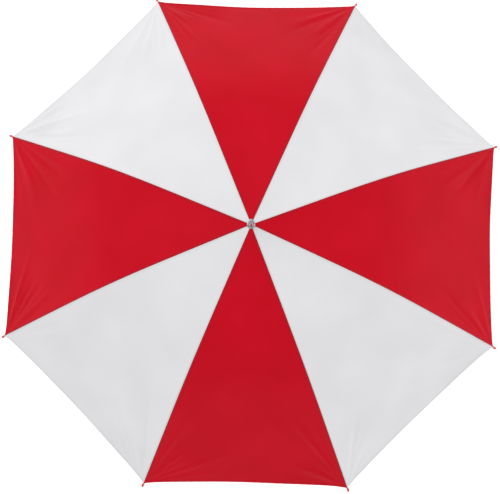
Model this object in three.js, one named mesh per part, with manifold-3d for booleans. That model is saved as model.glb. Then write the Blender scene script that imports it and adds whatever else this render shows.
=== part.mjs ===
// A golf umbrella with eight ribs, standing open on the end of its handle.
//
// Frame: millimetres, +Z up along the shaft, with the origin in the middle of the handle's end
// face. The panels centred on the X and Y axes are red and the four between them are white.
// The ribs stand halfway between, at 22.5 degrees and every 45 degrees from there.
//
// The folding frame is a ring of eight equal linkages. In each one the rib turns in the notch at
// the shaft's top, and a stretcher of the same length as the rib's inner part joins the rib to
// the runner, so the runner slides straight down the shaft as the ribs fold.

import * as THREE from "three";
import { mergeVertices } from "three/addons/utils/BufferGeometryUtils.js";
import Module from "manifold-3d";

const wasm = await Module();
wasm.setup();

// ---- Driving dimensions ----

const RIB_COUNT = 8;
const RIB_SPACING = 360 / RIB_COUNT; // degrees
const FIRST_RIB = RIB_SPACING / 2; // degrees from +X

const RIB_LENGTH = 750; // from the hinge in the notch to the end of the plastic tip
const STRETCHER_AT = 330; // along the rib
const SLOPE_AT_HINGE = 10; // degrees below level, with the umbrella open
const SET_CURVE = 8; // degrees that the rib is rolled to, spread over its length
const SPRUNG_CURVE = 24; // degrees that the taut cloth bends it by, around the stretcher
const SPRUNG_REACH = 170; // half the length that this bend is spread over
const FOLDED_LEAN = 2.5; // degrees from upright that the folded ribs and stretchers keep

const HINGE_RADIUS = 10.5; // radius of the wire rings that the hinges turn on
const NOTCH_HEIGHT = 930; // height of the upper wire ring

const SHAFT_RADIUS = 7;
const SHAFT_WALL = 0.6;
const SLIDE_GAP = 0.35; // between the shaft and what is on it
const GAP = 0.3; // between pieces that touch

const RIB_WIDTH = 4;
const RIB_DEPTH = 3.5;
const RIB_WALL = 0.6;
const STRETCHER_WIDTH = 4.4;
const STRETCHER_DEPTH = 3.6;
const STRETCHER_WALL = 0.7;
const EYE_RADIUS = 2; // round end of a rib or stretcher
const EYE_THICKNESS = 2;
const WIRE_RADIUS = 0.6;
const EYE_HOLE = 0.95;
const BRACKET_DROP = 5.2; // from the rib's middle down to the stretcher's rivet
const BRACKET_RADIUS = 2.5;
const RIVET_RADIUS = 0.8;
const RIVET_HOLE = 1.15;

const TIP_LENGTH = 24;
const TIP_RADIUS = 2.6;
const TIP_SHOWS = 15; // length of tip that stands out past the cloth's corner

const CLOTH = 0.6; // thickness of the panels' solids
const CLOTH_OFFSET = 3.1; // from the rib's middle up to the cloth's middle
const CLOTH_SAG = 0.02; // how far a panel's middle hangs in, as a share of its width
const HEM_HOLLOW = 6; // how far the hem curves in between two corners
const CROWN_HOLE = 7.9;
const CROWN_TOP = 4.6; // cloth on top of the notch, above the hinges
const CLOTH_ROWS = 17; // rows of facets from crown to hem

const CATCH_LENGTH = 30;
const CATCH_WIDTH = 3.2;
const CATCH_REACH = 9.9; // radius that its shoulder stands out to
const CATCH_SIDE = -90; // degrees from +X

const GRIP_TOP = 170;
const GRIP_CAP_HEIGHT = 8;
const FERRULE_TOP = 68; // above the hinges

const ROUND = 24; // sides of the pieces turned about the shaft

const FINISHES = {
  red_canopy: { color: 0xc61628, roughness: 0.62, metalness: 0 },
  white_canopy: { color: 0xe8e9ec, roughness: 0.62, metalness: 0 },
  red_plastic: { color: 0xd8201c, roughness: 0.38, metalness: 0 },
  bright_metal: { color: 0xc9cccf, roughness: 0.22, metalness: 1 },
  black_steel: { color: 0x1c1d1f, roughness: 0.42, metalness: 0.6 },
  spring_steel: { color: 0x9a9da1, roughness: 0.35, metalness: 1 },
  black_plastic: { color: 0x1b1b1c, roughness: 0.5, metalness: 0 },
  black_foam: { color: 0x222224, roughness: 0.95, metalness: 0 },
};

// ---- The rib's line ----

const radians = (degrees) => THREE.MathUtils.degToRad(degrees);

/** Slope below level at a length along the rib, in radians. */
function ribSlope(length) {
  const bend = THREE.MathUtils.smoothstep(
    length,
    STRETCHER_AT - SPRUNG_REACH,
    STRETCHER_AT + SPRUNG_REACH,
  );
  const rolled = (SET_CURVE * length) / RIB_LENGTH;
  return radians(SLOPE_AT_HINGE + rolled + SPRUNG_CURVE * bend);
}

/** The rib's middle line, summed from its slope in steps of one millimetre. */
function traceRib() {
  const line = [new THREE.Vector2(HINGE_RADIUS, 0)];
  for (let length = 1; length <= RIB_LENGTH; length++) {
    const slope = ribSlope(length - 0.5);
    const ahead = new THREE.Vector2(Math.cos(slope), -Math.sin(slope));
    line.push(ahead.add(line[length - 1]));
  }
  return line;
}

const RIB_LINE = traceRib();

/** A point beside the rib's line, in the rib's own plane: x outwards and y up from the hinges. */
function besideRib(length, above) {
  const step = THREE.MathUtils.clamp(Math.floor(length), 0, RIB_LENGTH - 1);
  const point = RIB_LINE[step].clone().lerp(RIB_LINE[step + 1], length - step);
  const slope = ribSlope(length);
  return point.add(new THREE.Vector2(Math.sin(slope), Math.cos(slope)).multiplyScalar(above));
}

// The linkage: the rivet that joins rib and stretcher, and the runner's place when open.
const HINGE = new THREE.Vector2(HINGE_RADIUS, 0);
const RIVET = besideRib(STRETCHER_AT, -BRACKET_DROP);
const LINK = RIVET.distanceTo(HINGE);
const RUNNER_DROP = -2 * RIVET.y;
const RUNNER_HINGE = new THREE.Vector2(HINGE_RADIUS, -RUNNER_DROP);
const FOLDED_DROP = 2 * LINK * Math.cos(radians(FOLDED_LEAN));

// ---- Solids ----

/** A closed geometry as a solid that can be joined and cut. */
function solid(geometry) {
  const bare = geometry.clone();
  bare.deleteAttribute("normal");
  bare.deleteAttribute("uv");
  const merged = mergeVertices(bare, 1e-4);
  return new wasm.Manifold(
    new wasm.Mesh({
      numProp: 3,
      vertProperties: new Float32Array(merged.attributes.position.array),
      triVerts: new Uint32Array(merged.index.array),
    }),
  );
}

/** Joins geometries into one, and cuts others from it. */
function shaped(joined, removed = []) {
  const whole = joined.map(solid).reduce((sum, piece) => sum.add(piece));
  const rest = removed.map(solid).reduce((left, tool) => left.subtract(tool), whole);
  const { numProp, vertProperties, triVerts } = rest.getMesh();
  const geometry = new THREE.BufferGeometry();
  const places = new THREE.InterleavedBuffer(vertProperties, numProp);
  geometry.setAttribute("position", new THREE.InterleavedBufferAttribute(places, 3, 0));
  geometry.setIndex(new THREE.BufferAttribute(triVerts, 1));
  const faceted = geometry.toNonIndexed();
  faceted.computeVertexNormals();
  return faceted;
}

/** A plate in a rib's plane: the outline's x is outwards, its y is up, and y = 0 is its middle. */
function plate(outline, thickness) {
  const shape = outline instanceof THREE.Shape ? outline : new THREE.Shape(outline);
  const options = { depth: thickness, bevelEnabled: false, curveSegments: 6 };
  const geometry = new THREE.ExtrudeGeometry(shape, options);
  return geometry.translate(0, 0, -thickness / 2).rotateX(Math.PI / 2);
}

/** A round disc in a rib's plane. */
function disc(centre, radius, thickness, sides = 12) {
  const geometry = new THREE.CylinderGeometry(radius, radius, thickness, sides);
  return geometry.translate(centre.x, 0, centre.y);
}

/** The outline of a strip that follows the rib's line, from one length along it to another. */
function ribStrip(from, to, above, below, steps = 1) {
  const lengths = Array.from({ length: steps + 1 }, (_, i) => from + ((to - from) * i) / steps);
  const upper = lengths.map((length) => besideRib(length, above));
  const lower = lengths.map((length) => besideRib(length, -below));
  return [...upper, ...lower.reverse()];
}

/** A turned piece: pairs of radius and height, from the axis round to the axis or closed. */
function turned(profile, sides) {
  const points = profile.map(([radius, height]) => new THREE.Vector2(radius, height));
  return new THREE.LatheGeometry(points, sides).rotateX(Math.PI / 2);
}

/** A turned ring: its section's corners, closed on the first one. */
function turnedRing(corners, sides) {
  return turned([...corners, corners[0]], sides);
}

/** A box between two corners, turned about the shaft. */
function block(low, high, azimuth = 0) {
  const size = new THREE.Vector3().subVectors(high, low);
  const middle = new THREE.Vector3().addVectors(high, low).multiplyScalar(0.5);
  const geometry = new THREE.BoxGeometry(size.x, size.y, size.z);
  return geometry.translate(middle.x, middle.y, middle.z).rotateZ(radians(azimuth));
}

/** A box of given segments, with each of its points moved by a rule of three shares, 0 to 1. */
function bentBox(segmentsAlong, segmentsAcross, rule) {
  const geometry = new THREE.BoxGeometry(1, 1, 1, segmentsAlong, segmentsAcross, 1);
  const places = geometry.attributes.position;
  for (let i = 0; i < places.count; i++) {
    const shares = [places.getX(i) + 0.5, places.getY(i) + 0.5, places.getZ(i) + 0.5];
    const point = rule(...shares);
    places.setXYZ(i, point.x, point.y, point.z);
  }
  geometry.computeVertexNormals();
  return geometry;
}

// ---- Ribs, tips and stretchers, each in its rib's plane ----

/** The inner rib: a steel channel, flattened to an eye at the notch, with the rivet's bracket. */
function innerRib() {
  const top = RIB_DEPTH / 2;
  const roof = top - RIB_WALL;
  const end = STRETCHER_AT - GAP / 2;
  const inside = RIB_WIDTH - 2 * RIB_WALL;
  const bracketRoot = ribStrip(STRETCHER_AT - 16, end - 1, roof + 0.2, top + 0.4);
  const bracketWeb = [
    besideRib(STRETCHER_AT - 12, -top),
    besideRib(STRETCHER_AT - 1.2, -top),
    besideRib(STRETCHER_AT + 1.8, -BRACKET_DROP),
    besideRib(STRETCHER_AT - 1.8, -BRACKET_DROP - 1.6),
  ].reverse();
  return shaped(
    [
      channel(9, end, 8),
      plate(ribStrip(1, 16, roof + 0.2, 1.2, 1), EYE_THICKNESS),
      disc(HINGE, EYE_RADIUS, EYE_THICKNESS),
      plate(bracketRoot, inside + 0.4),
      plate(bracketWeb, EYE_THICKNESS),
      disc(RIVET, BRACKET_RADIUS, EYE_THICKNESS),
    ],
    [disc(HINGE, EYE_HOLE, 9, 8), disc(RIVET, RIVET_HOLE, 9, 10)],
  );
}

/** The outer rib: the rest of the channel, with a spigot that the plastic tip is pushed on to. */
function outerRib() {
  const top = RIB_DEPTH / 2;
  const end = RIB_LENGTH - TIP_LENGTH - GAP;
  return shaped([
    channel(STRETCHER_AT + GAP / 2, end, 10),
    plate(ribStrip(end - 5, end, top - 0.1, top), RIB_WIDTH - 0.2),
    plate(ribStrip(end - 1, RIB_LENGTH - 9, 1.1, 1.1), 2.2),
  ]);
}

/** A channel open downwards, along the rib's line. */
function channel(from, to, steps) {
  const top = RIB_DEPTH / 2;
  const outside = plate(ribStrip(from, to, top, top, steps), RIB_WIDTH);
  const spread = (to - from) / steps;
  const hollow = plate(
    ribStrip(from - spread, to + spread, top - RIB_WALL, top + 2, steps + 2),
    RIB_WIDTH - 2 * RIB_WALL,
  );
  return shaped([outside], [hollow]);
}

/** The plastic tip: a round cap with a blind hole, pushed on to the end of the rib. */
function ribTip() {
  const hole = 1.95;
  const profile = [
    [0, TIP_LENGTH - 7],
    [hole, TIP_LENGTH - 7],
    [hole, 0],
    [TIP_RADIUS, 0],
    [TIP_RADIUS, TIP_LENGTH - 3],
    [TIP_RADIUS * 0.8, TIP_LENGTH - 1],
    [TIP_RADIUS * 0.4, TIP_LENGTH - 0.1],
    [0, TIP_LENGTH],
  ];
  const start = besideRib(RIB_LENGTH - TIP_LENGTH, 0);
  const slope = ribSlope(RIB_LENGTH - TIP_LENGTH / 2);
  const geometry = turned(profile, 10);
  return geometry.rotateY(Math.PI / 2 + slope).translate(start.x, 0, start.y);
}

/** The stretcher: a channel open towards the rib, forked round the bracket and riveted to it. */
function stretcher() {
  const half = STRETCHER_DEPTH / 2;
  const inside = STRETCHER_WIDTH - 2 * STRETCHER_WALL;
  const end = LINK - 9;
  const rounded = new THREE.Shape();
  rounded.absarc(0, 0, half, -Math.PI / 2, Math.PI / 2, true);
  rounded.lineTo(end, half).lineTo(end, -half);
  const strip = (from, to, low, high) =>
    [
      [from, low],
      [to, low],
      [to, high],
      [from, high],
    ].map(([x, y]) => new THREE.Vector2(x, y));
  const geometry = shaped(
    [
      shaped(
        [plate(rounded, STRETCHER_WIDTH)],
        [
          plate(strip(-5, end + 1, -half - 3, half - STRETCHER_WALL), inside),
          plate(strip(-5, 6, -half - 3, half + 3), inside),
        ],
      ),
      disc(new THREE.Vector2(0, 0), RIVET_RADIUS, STRETCHER_WIDTH + 0.8, 10),
      plate(strip(end - 8, LINK - 1, -1.2, 1.2), EYE_THICKNESS),
      plate(strip(end - 8, end, -half + 0.4, half - 0.2), inside + 0.4),
      disc(new THREE.Vector2(LINK, 0), EYE_RADIUS, EYE_THICKNESS),
    ],
    [disc(new THREE.Vector2(LINK, 0), EYE_HOLE, 9, 8)],
  );
  const slope = Math.atan2(RUNNER_HINGE.y - RIVET.y, RUNNER_HINGE.x - RIVET.x);
  return geometry.rotateY(-slope).translate(RIVET.x, 0, RIVET.y);
}

// ---- Canopy ----

/** The cloth's middle over a rib, from the crown's hole (share 0) to the corner (share 1). */
function clothOverRib(share, hemRise) {
  const corner = RIB_LENGTH - TIP_SHOWS - hemRise;
  const crownShare = 2 / CLOTH_ROWS;
  const shoulder = 36; // length along the rib where the cloth comes down on to it
  if (share >= crownShare) {
    const along = (share - crownShare) / (1 - crownShare);
    return besideRib(THREE.MathUtils.lerp(shoulder, corner, along), CLOTH_OFFSET);
  }
  const rim = new THREE.Vector2(HINGE_RADIUS + 3, CROWN_TOP - 0.1);
  const half = crownShare / 2;
  if (share <= half) return new THREE.Vector2(CROWN_HOLE, CROWN_TOP).lerp(rim, share / half);
  return rim.lerp(besideRib(shoulder, CLOTH_OFFSET), (share - half) / half);
}

/**
 * A point of the cloth's middle beside one rib. The share is 0 over the rib and 1 in the panel's
 * middle plane, and the cloth between two ribs is straight across but for a little sag.
 */
function clothPoint(overRib, share) {
  const half = radians(RIB_SPACING / 2);
  const [cosine, sine] = [Math.cos(half), Math.sin(half)];
  const width = 2 * overRib.x * sine;
  const taut = THREE.MathUtils.smoothstep(overRib.x, 20, 120);
  const sag = CLOTH_SAG * width * taut * (1 - (1 - share) ** 2);
  const inwards = 0.4 * sag;
  return new THREE.Vector3(
    overRib.x * (1 - share * sine ** 2) - inwards * cosine,
    overRib.x * cosine * sine * share - inwards * sine + GAP * (0.5 - share),
    overRib.y - sag,
  );
}

/** Half of a panel beside one rib: side is 1 on the rib's left, seen from the shaft, or -1. */
function halfPanel(side) {
  return bentBox(CLOTH_ROWS, 3, (along, across, through) => {
    const share = side > 0 ? across : 1 - across;
    const hemRise = HEM_HOLLOW * (1 - (1 - share) ** 2);
    const point = clothPoint(clothOverRib(along, hemRise), share);
    point.y *= side;
    point.z += (through - 0.5) * CLOTH;
    return point;
  });
}

/** The tie strap, folded flat against the inside of the cloth beside one rib. */
function tieStrap() {
  const [start, end, nearEdge, farEdge] = [560, 715, 0.08, 0.2];
  return bentBox(5, 1, (along, across, through) => {
    const overRib = besideRib(THREE.MathUtils.lerp(start, end, along), CLOTH_OFFSET);
    const point = clothPoint(overRib, THREE.MathUtils.lerp(nearEdge, farEdge, across));
    point.z += (through - 0.5) * 0.8 - 1.6;
    return point;
  });
}

// ---- Notch, runner and wire rings, about the shaft with z = 0 at the hinges ----

const BORE = SHAFT_RADIUS + SLIDE_GAP;
const HUB_RADIUS = HINGE_RADIUS + 2.5;
const SLOT_WIDTH = 2.6;
const SLOT_FLOOR = 8.1;

/** Eight slots for the eyes, open outwards and between two heights, and the wire's groove. */
function hingeSlots(low, high) {
  const slots = Array.from({ length: RIB_COUNT }, (_, i) =>
    block(
      new THREE.Vector3(SLOT_FLOOR, -SLOT_WIDTH / 2, low),
      new THREE.Vector3(HUB_RADIUS + 2, SLOT_WIDTH / 2, high),
      FIRST_RIB + i * RIB_SPACING,
    ),
  );
  const [inner, outer] = [HINGE_RADIUS - 0.95, HUB_RADIUS + 1];
  const section = [
    [inner, -0.95],
    [outer, -0.95],
    [outer, 0.95],
    [inner, 0.95],
  ];
  return [...slots, turnedRing(section, ROUND)];
}

/** The notch: the slotted crown, fixed to the shaft, that the ribs are wired into. */
function notch() {
  const section = [
    [BORE, -7],
    [HUB_RADIUS - 1, -7],
    [HUB_RADIUS, -6],
    [HUB_RADIUS, 3.2],
    [HUB_RADIUS - 0.8, 4],
    [BORE, 4],
  ];
  return shaped([turnedRing(section, ROUND)], hingeSlots(-9, 2.4));
}

const SLEEVE_END = 55; // below the runner's hinges
const WINDOW_LOW = 44;
const WINDOW_HIGH = 20;

/** The runner: a slotted head for the stretchers, on a sleeve with a collar and a window. */
function runner() {
  const section = [
    [BORE, -SLEEVE_END],
    [11, -SLEEVE_END],
    [11.5, -SLEEVE_END + 0.8],
    [11.5, -SLEEVE_END + 5],
    [9.6, -SLEEVE_END + 7],
    [9.6, -10],
    [HUB_RADIUS, -6],
    [HUB_RADIUS, 6.2],
    [HUB_RADIUS - 0.8, 7],
    [BORE, 7],
  ];
  const window = block(
    new THREE.Vector3(SHAFT_RADIUS - 1, -2.2, -WINDOW_LOW),
    new THREE.Vector3(HUB_RADIUS, 2.2, -WINDOW_HIGH),
    CATCH_SIDE,
  );
  return shaped([turnedRing(section, ROUND)], [...hingeSlots(-2.4, 9), window]);
}

/** The wire ring that a set of hinges turns on. */
function wireRing() {
  return new THREE.TorusGeometry(HINGE_RADIUS, WIRE_RADIUS, 6, ROUND);
}

/** A catch: a bent leaf of spring steel, hinged in the shaft, with its shoulder at the far end. */
function catchLeaf() {
  const outline = [
    [6.2, 0],
    [CATCH_REACH, CATCH_LENGTH - 1.4],
    [CATCH_REACH, CATCH_LENGTH],
    [3.6, CATCH_LENGTH],
    [3.6, CATCH_LENGTH - 1.2],
    [CATCH_REACH - 1.2, CATCH_LENGTH - 1.2],
    [5, 0],
  ];
  return plate(outline.map(([x, y]) => new THREE.Vector2(x, y)), CATCH_WIDTH);
}

const RUNNER_HEIGHT = NOTCH_HEIGHT - RUNNER_DROP;
const OPEN_CATCH_FOOT = RUNNER_HEIGHT - SLEEVE_END - 0.4 - CATCH_LENGTH;
const CLOSED_CATCH_HEAD = NOTCH_HEIGHT - FOLDED_DROP - WINDOW_LOW + 0.4 + CATCH_LENGTH;
const STOP_PIN_HEIGHT = RUNNER_HEIGHT + 7 + 2;
const STOP_PIN_RADIUS = 1.2;

// ---- Shaft, ferrule and handle, about the shaft with z = 0 at the handle's end ----

/** The shaft: a steel tube with a slot for each catch and holes for the stop pin. */
function shaftTube() {
  const [foot, head] = [GRIP_CAP_HEIGHT + GAP, NOTCH_HEIGHT + 3.7];
  const inner = SHAFT_RADIUS - SHAFT_WALL;
  const section = [
    [inner, foot],
    [SHAFT_RADIUS, foot],
    [SHAFT_RADIUS, head],
    [inner, head],
  ];
  const catchSlot = (low, high) =>
    block(
      new THREE.Vector3(2, -CATCH_WIDTH / 2 - 0.4, low),
      new THREE.Vector3(12, CATCH_WIDTH / 2 + 0.4, high),
      CATCH_SIDE,
    );
  const pinHole = new THREE.CylinderGeometry(
    STOP_PIN_RADIUS + GAP,
    STOP_PIN_RADIUS + GAP,
    40,
    10,
  ).rotateZ(Math.PI / 2);
  return shaped(
    [turnedRing(section, ROUND)],
    [
      catchSlot(OPEN_CATCH_FOOT - 1, OPEN_CATCH_FOOT + CATCH_LENGTH + 1),
      catchSlot(CLOSED_CATCH_HEAD - CATCH_LENGTH - 1, CLOSED_CATCH_HEAD + 1),
      pinHole.translate(0, 0, STOP_PIN_HEIGHT),
    ],
  );
}

/** The stop pin: a straight pin through the shaft that the open runner comes up against. */
function stopPin() {
  const length = 2 * SHAFT_RADIUS + 5;
  const pin = new THREE.CylinderGeometry(STOP_PIN_RADIUS, STOP_PIN_RADIUS, length, 12);
  return pin.rotateZ(Math.PI / 2);
}

/** The ferrule: a flange that clamps the cloth's crown, a tapered point and a plug below. */
function ferrule() {
  const plug = SHAFT_RADIUS - SHAFT_WALL - GAP;
  return turned(
    [
      [0, -14],
      [plug, -14],
      [plug, 5.2],
      [9.5, 5.2],
      [9.5, 6.6],
      [8.9, 7.3],
      [7.1, 8.2],
      [6.6, 10],
      [5.9, FERRULE_TOP - 1.6],
      [5.5, FERRULE_TOP - 0.5],
      [4.8, FERRULE_TOP],
      [0, FERRULE_TOP],
    ],
    ROUND,
  );
}

/** The handle: a straight sleeve of foam, a little fuller in the hand than at its ends. */
function grip() {
  const [foot, head] = [GRIP_CAP_HEIGHT + GAP, GRIP_TOP];
  const outside = Array.from({ length: 7 }, (_, i) => {
    const share = i / 6;
    const full = 13.6 + 1.4 * Math.sin(Math.PI * share) ** 0.8;
    return [full, THREE.MathUtils.lerp(foot + 2, head - 4, share)];
  });
  return turnedRing([[BORE, foot], [13, foot], ...outside, [11.4, head], [BORE, head]], ROUND);
}

/** The handle's end cap: a moulded disc with a plug that sits in the shaft. */
function gripCap() {
  const plug = SHAFT_RADIUS - SHAFT_WALL - GAP;
  return turned(
    [
      [0, 0],
      [12, 0],
      [13.2, 0.8],
      [13.8, 2.4],
      [13.8, GRIP_CAP_HEIGHT],
      [plug, GRIP_CAP_HEIGHT],
      [plug, GRIP_CAP_HEIGHT + 18],
      [0, GRIP_CAP_HEIGHT + 18],
    ],
    ROUND,
  );
}

// ---- Assembly ----

const umbrella = new THREE.Group();

/** A named mesh in one of the finishes. */
function piece(name, geometry, finish) {
  const mesh = new THREE.Mesh(geometry, new THREE.MeshStandardMaterial(FINISHES[finish]));
  mesh.name = name;
  return mesh;
}

/** A group turned about the shaft and raised, holding some pieces. */
function placed(height, azimuth, ...pieces) {
  const group = new THREE.Group();
  group.position.z = height;
  group.rotation.z = radians(azimuth);
  group.add(...pieces);
  umbrella.add(group);
  return group;
}

placed(
  0,
  0,
  piece("shaft_tube", shaftTube(), "black_steel"),
  piece("grip", grip(), "black_foam"),
  piece("grip_cap", gripCap(), "black_plastic"),
);
placed(
  NOTCH_HEIGHT,
  0,
  piece("ferrule", ferrule(), "bright_metal"),
  piece("notch", notch(), "black_plastic"),
  piece("notch_wire", wireRing(), "spring_steel"),
);
placed(
  RUNNER_HEIGHT,
  0,
  piece("runner", runner(), "black_plastic"),
  piece("runner_wire", wireRing(), "spring_steel"),
);
placed(STOP_PIN_HEIGHT, 0, piece("stop_pin", stopPin(), "spring_steel"));
placed(OPEN_CATCH_FOOT, CATCH_SIDE, piece("open_catch", catchLeaf(), "spring_steel"));

// The lower catch is the same leaf upside down: its hinge is above its shoulder.
const closedCatch = piece("closed_catch", catchLeaf(), "spring_steel");
closedCatch.rotation.x = Math.PI;
placed(CLOSED_CATCH_HEAD, CATCH_SIDE, closedCatch);

const shared = {
  innerRib: innerRib(),
  outerRib: outerRib(),
  tip: ribTip(),
  stretcher: stretcher(),
  leftHalf: halfPanel(1),
  rightHalf: halfPanel(-1),
};

/** The name of half a panel; panels are numbered by the rib on their right, and alternate. */
function panelName(number, half) {
  const colour = number % 2 === 0 ? "red" : "white";
  return `${colour}_panel_${number}_${half}_half`;
}

for (let rib = 1; rib <= RIB_COUNT; rib++) {
  const before = rib === 1 ? RIB_COUNT : rib - 1;
  const finish = (panel) => (panel % 2 === 0 ? "red_canopy" : "white_canopy");
  placed(
    NOTCH_HEIGHT,
    FIRST_RIB + (rib - 1) * RIB_SPACING,
    piece(`inner_rib_${rib}`, shared.innerRib, "black_steel"),
    piece(`outer_rib_${rib}`, shared.outerRib, "black_steel"),
    piece(`rib_tip_${rib}`, shared.tip, "red_plastic"),
    piece(`stretcher_${rib}`, shared.stretcher, "black_steel"),
    piece(panelName(rib, "right"), shared.leftHalf, finish(rib)),
    piece(panelName(before, "left"), shared.rightHalf, finish(before)),
  );
}

const STRAP_RIB = 2;
placed(
  NOTCH_HEIGHT,
  FIRST_RIB + (STRAP_RIB - 1) * RIB_SPACING,
  piece("tie_strap", tieStrap(), "red_canopy"),
);

export default umbrella;
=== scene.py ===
"""The looks of an eight-rib golf umbrella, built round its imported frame.

Lengths are in metres and +Z runs up the shaft. A length "along the rib" starts at its hinge in the
notch. Each panel of cloth is cut along its middle, so that half of it moves with the rib beside it.
"""

import math

import bpy
import numpy as np
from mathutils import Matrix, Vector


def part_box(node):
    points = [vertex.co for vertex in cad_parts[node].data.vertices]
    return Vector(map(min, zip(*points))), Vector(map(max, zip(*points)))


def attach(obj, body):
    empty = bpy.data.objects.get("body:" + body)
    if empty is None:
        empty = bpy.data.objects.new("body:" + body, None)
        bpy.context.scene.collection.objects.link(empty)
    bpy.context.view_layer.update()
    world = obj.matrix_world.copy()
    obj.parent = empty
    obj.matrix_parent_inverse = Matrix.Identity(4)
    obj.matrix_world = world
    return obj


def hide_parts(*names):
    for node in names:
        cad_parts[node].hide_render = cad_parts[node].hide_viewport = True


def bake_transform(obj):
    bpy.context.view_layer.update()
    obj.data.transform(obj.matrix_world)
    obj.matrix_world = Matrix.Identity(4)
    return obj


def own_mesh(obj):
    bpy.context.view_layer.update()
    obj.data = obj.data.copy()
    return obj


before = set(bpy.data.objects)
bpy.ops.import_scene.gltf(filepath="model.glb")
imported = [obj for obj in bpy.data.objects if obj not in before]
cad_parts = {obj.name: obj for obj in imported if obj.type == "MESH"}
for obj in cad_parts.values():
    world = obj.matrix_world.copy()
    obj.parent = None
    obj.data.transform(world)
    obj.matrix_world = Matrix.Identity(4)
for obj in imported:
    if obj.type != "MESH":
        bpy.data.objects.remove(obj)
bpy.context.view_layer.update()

scene = bpy.context.scene

# ---- The frame's own sizes, as the CAD part has them ----

RIB_COUNT = 8
SECTOR = math.tau / RIB_COUNT
COS, SIN = math.cos(SECTOR / 2), math.sin(SECTOR / 2)
RIB_LENGTH = 0.750
KNEE = 0.330  # along the rib: the stretcher's rivet, where the rib flexes as it folds
HINGE_RADIUS = 0.0105
BRACKET_DROP = 0.0052
CLOTH_OFFSET = 0.0031  # from the rib's middle line up to the cloth
SHOULDER = 0.036  # along the rib: where the cloth comes down on to it from the crown
CROWN_HOLE = 0.0079
CROWN_TOP = 0.0046
CORNER = 0.735  # along the rib: the panels' corners
HEM_HOLLOW = 0.0032  # how far the hem curves in, evenly between two corners
HEM_NOTCH = 0.0035  # how far it steps in besides, close to each corner
NOTCH_WIDTH = 0.011
SHEET = 0.0003  # thickness of one layer of cloth

NOTCH_HEIGHT = sum(corner[2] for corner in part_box("notch_wire")) / 2
RUNNER_HEIGHT = sum(corner[2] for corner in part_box("runner_wire")) / 2
RIBS = range(1, RIB_COUNT + 1)


def smoothstep(value, low, high):
    """Nought below low, one above high, and an S-curve between them."""
    share = np.clip((value - low) / (high - low), 0, 1)
    return share * share * (3 - 2 * share)


def unit(vectors):
    """The same directions, one long."""
    return vectors / np.linalg.norm(vectors, axis=-1, keepdims=True)


def stacked(*values):
    """Coordinates put together as the last axis of one array."""
    return np.stack(np.broadcast_arrays(*values), axis=-1)


def ring(count):
    """Angles spaced evenly round a circle."""
    return np.linspace(0, math.tau, count, endpoint=False)


def rib_azimuth(rib):
    """The angle from +X at which a rib stands."""
    return SECTOR * (rib - 0.5)


def turned(points, azimuth):
    """Points turned about the shaft."""
    cosine, sine = math.cos(azimuth), math.sin(azimuth)
    x, y, z = np.moveaxis(np.asarray(points, float), -1, 0)
    return stacked(x * cosine - y * sine, x * sine + y * cosine, z)


# ---- The rib's line ----


def rib_slope(length):
    """How steeply the rib falls, in radians: 10 degrees at the hinge, 8 more spread evenly along
    it, and 24 more in an S-curve 170 mm to each side of the stretcher."""
    bend = 24 * smoothstep(length, KNEE - 0.170, KNEE + 0.170)
    return np.radians(10 + 8 * length / RIB_LENGTH + bend)


STATIONS = np.linspace(0, RIB_LENGTH, 751)
station_slopes = rib_slope((STATIONS[1:] + STATIONS[:-1]) / 2)
STATION_OUT = HINGE_RADIUS + np.append(0, np.cumsum(np.cos(station_slopes))) * STATIONS[1]
STATION_UP = NOTCH_HEIGHT - np.append(0, np.cumsum(np.sin(station_slopes))) * STATIONS[1]


def beside_rib(length, above=0.0):
    """(out, up): the rib's line, summed from its slope, and then moved square to itself."""
    slope = rib_slope(length)
    out = np.interp(length, STATIONS, STATION_OUT) + np.sin(slope) * above
    up = np.interp(length, STATIONS, STATION_UP) + np.cos(slope) * above
    return out, up


def rib_point(length, above=0.0, sideways=0.0):
    """The same point in space beside a rib that stands along +X."""
    out, up = beside_rib(length, above)
    return stacked(out, sideways, up)


# ---- Meshes from grids ----


def grid_faces(rows, columns, wrap_rows=False, wrap_columns=False):
    """The quads of a grid of points numbered row by row, closed on itself where it wraps."""
    row, column = np.meshgrid(
        np.arange(rows - (not wrap_rows)), np.arange(columns - (not wrap_columns)), indexing="ij"
    )
    row, below = row * columns, (row + 1) % rows * columns
    beside = (column + 1) % columns
    return stacked(row + column, row + beside, below + beside, below + column).reshape(-1, 4)


def patch(points, faces, normals=None, uv=None, material=0):
    """Some faces of a piece: normals are per face corner, and uv is per point."""
    points = np.asarray(points, float).reshape(-1, 3)
    faces = np.asarray(faces)
    if uv is None:
        uv = points[:, :2]
    return {
        "points": points,
        "faces": faces,
        "normals": normals,
        "uv": np.asarray(uv, float).reshape(-1, 2)[faces],
        "material": material,
    }


def swept(sections):
    """A closed tube through closed sections, rows of points. Its flat ends are strips that join
    the first half of the section to the second, so the section runs out and back."""
    rows, columns = sections.shape[:2]
    first = np.arange(columns // 2 - 1)
    cap = stacked(first, first + 1, columns - 2 - first, columns - 1 - first)
    sides = grid_faces(rows, columns, wrap_columns=True)
    return [patch(sections, np.concatenate([sides, cap[:, ::-1], cap + (rows - 1) * columns]))]


def inside_out(part):
    """True where a closed patch's faces point inwards: the volume they bound is less than 0."""
    corners = part["points"][part["faces"]]
    first, second, third, fourth = np.moveaxis(corners, 1, 0)
    return (first * np.cross(second, third) + first * np.cross(third, fourth)).sum() < 0


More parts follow.
